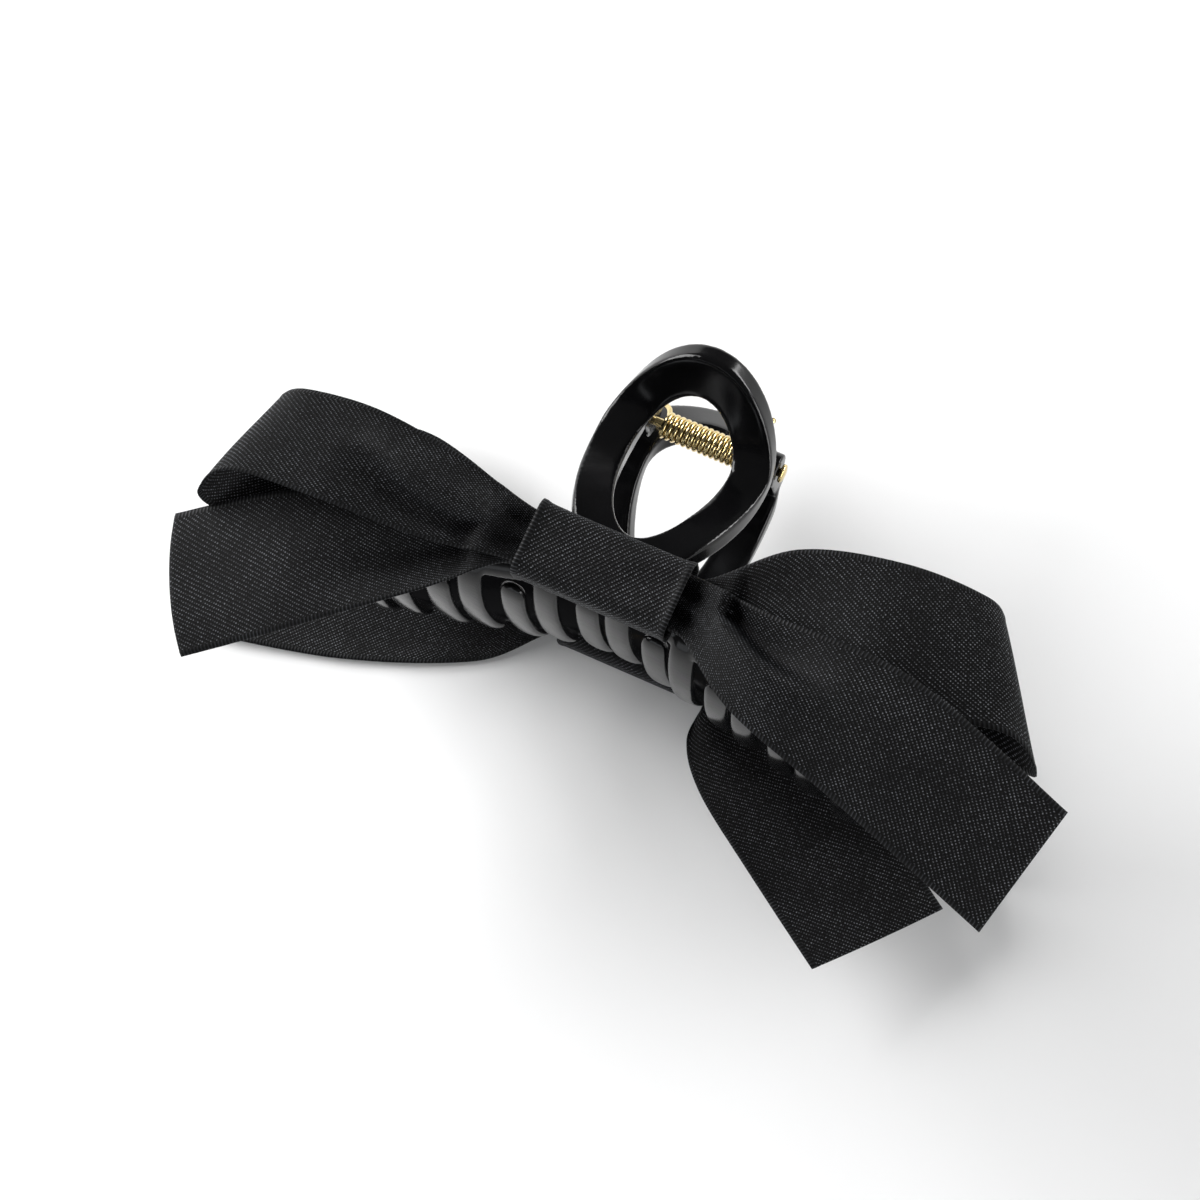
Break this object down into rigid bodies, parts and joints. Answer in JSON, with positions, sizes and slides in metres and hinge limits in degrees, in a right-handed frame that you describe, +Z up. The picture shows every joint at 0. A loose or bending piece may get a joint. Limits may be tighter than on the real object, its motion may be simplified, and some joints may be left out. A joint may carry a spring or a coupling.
{
  "type": "hair claw clip with ribbon bows",
  "caption": "Sprung hair claw with interleaved curved teeth, teardrop ring handles and a folded satin ribbon bow on each jaw, lying on its back.",
  "frame": {"origin": "centre of the flat outer face of the rear bow's centre wrap, which lies on the table", "axes": "+X along the hinge pin and the row of teeth, +Y towards the tips of the ring handles, +Z up, from the rear jaw to the front jaw"},
  "size_m": [0.168, 0.0865, 0.0717],
  "materials": {
    "black_plastic": "polished black injection-moulded plastic",
    "brass": "bright brass-plated wire and rod",
    "black_satin": "black double-face satin ribbon with a woven edge",
    "black_thread": "black sewing thread",
    "clear_glue": "set hot-melt glue"
  },
  "bodies": {
    "rear_jaw": {"rear_jaw": "black_plastic", "hinge_pin": "brass", "torsion_spring": "brass", "rear_bow_ribbon": "black_satin", "rear_bow_wrap": "black_satin", "rear_gather_thread": "black_thread", "rear_glue_pad": "clear_glue"},
    "front_jaw": {"front_jaw": "black_plastic", "front_bow_ribbon": "black_satin", "front_bow_wrap": "black_satin", "front_gather_thread": "black_thread", "front_glue_pad": "clear_glue"}
  },
  "joints": [
    {"name": "jaw_hinge", "type": "hinge", "parent": "rear_jaw", "child": "front_jaw", "pos_m": [0, 0.0322, 0.033], "axis": [-1, 0, 0], "range_deg": [0, 50], "stiffness_Nm_per_rad": 0.12, "springref_deg": -51.57, "deforming": ["torsion_spring"]}
  ]
}
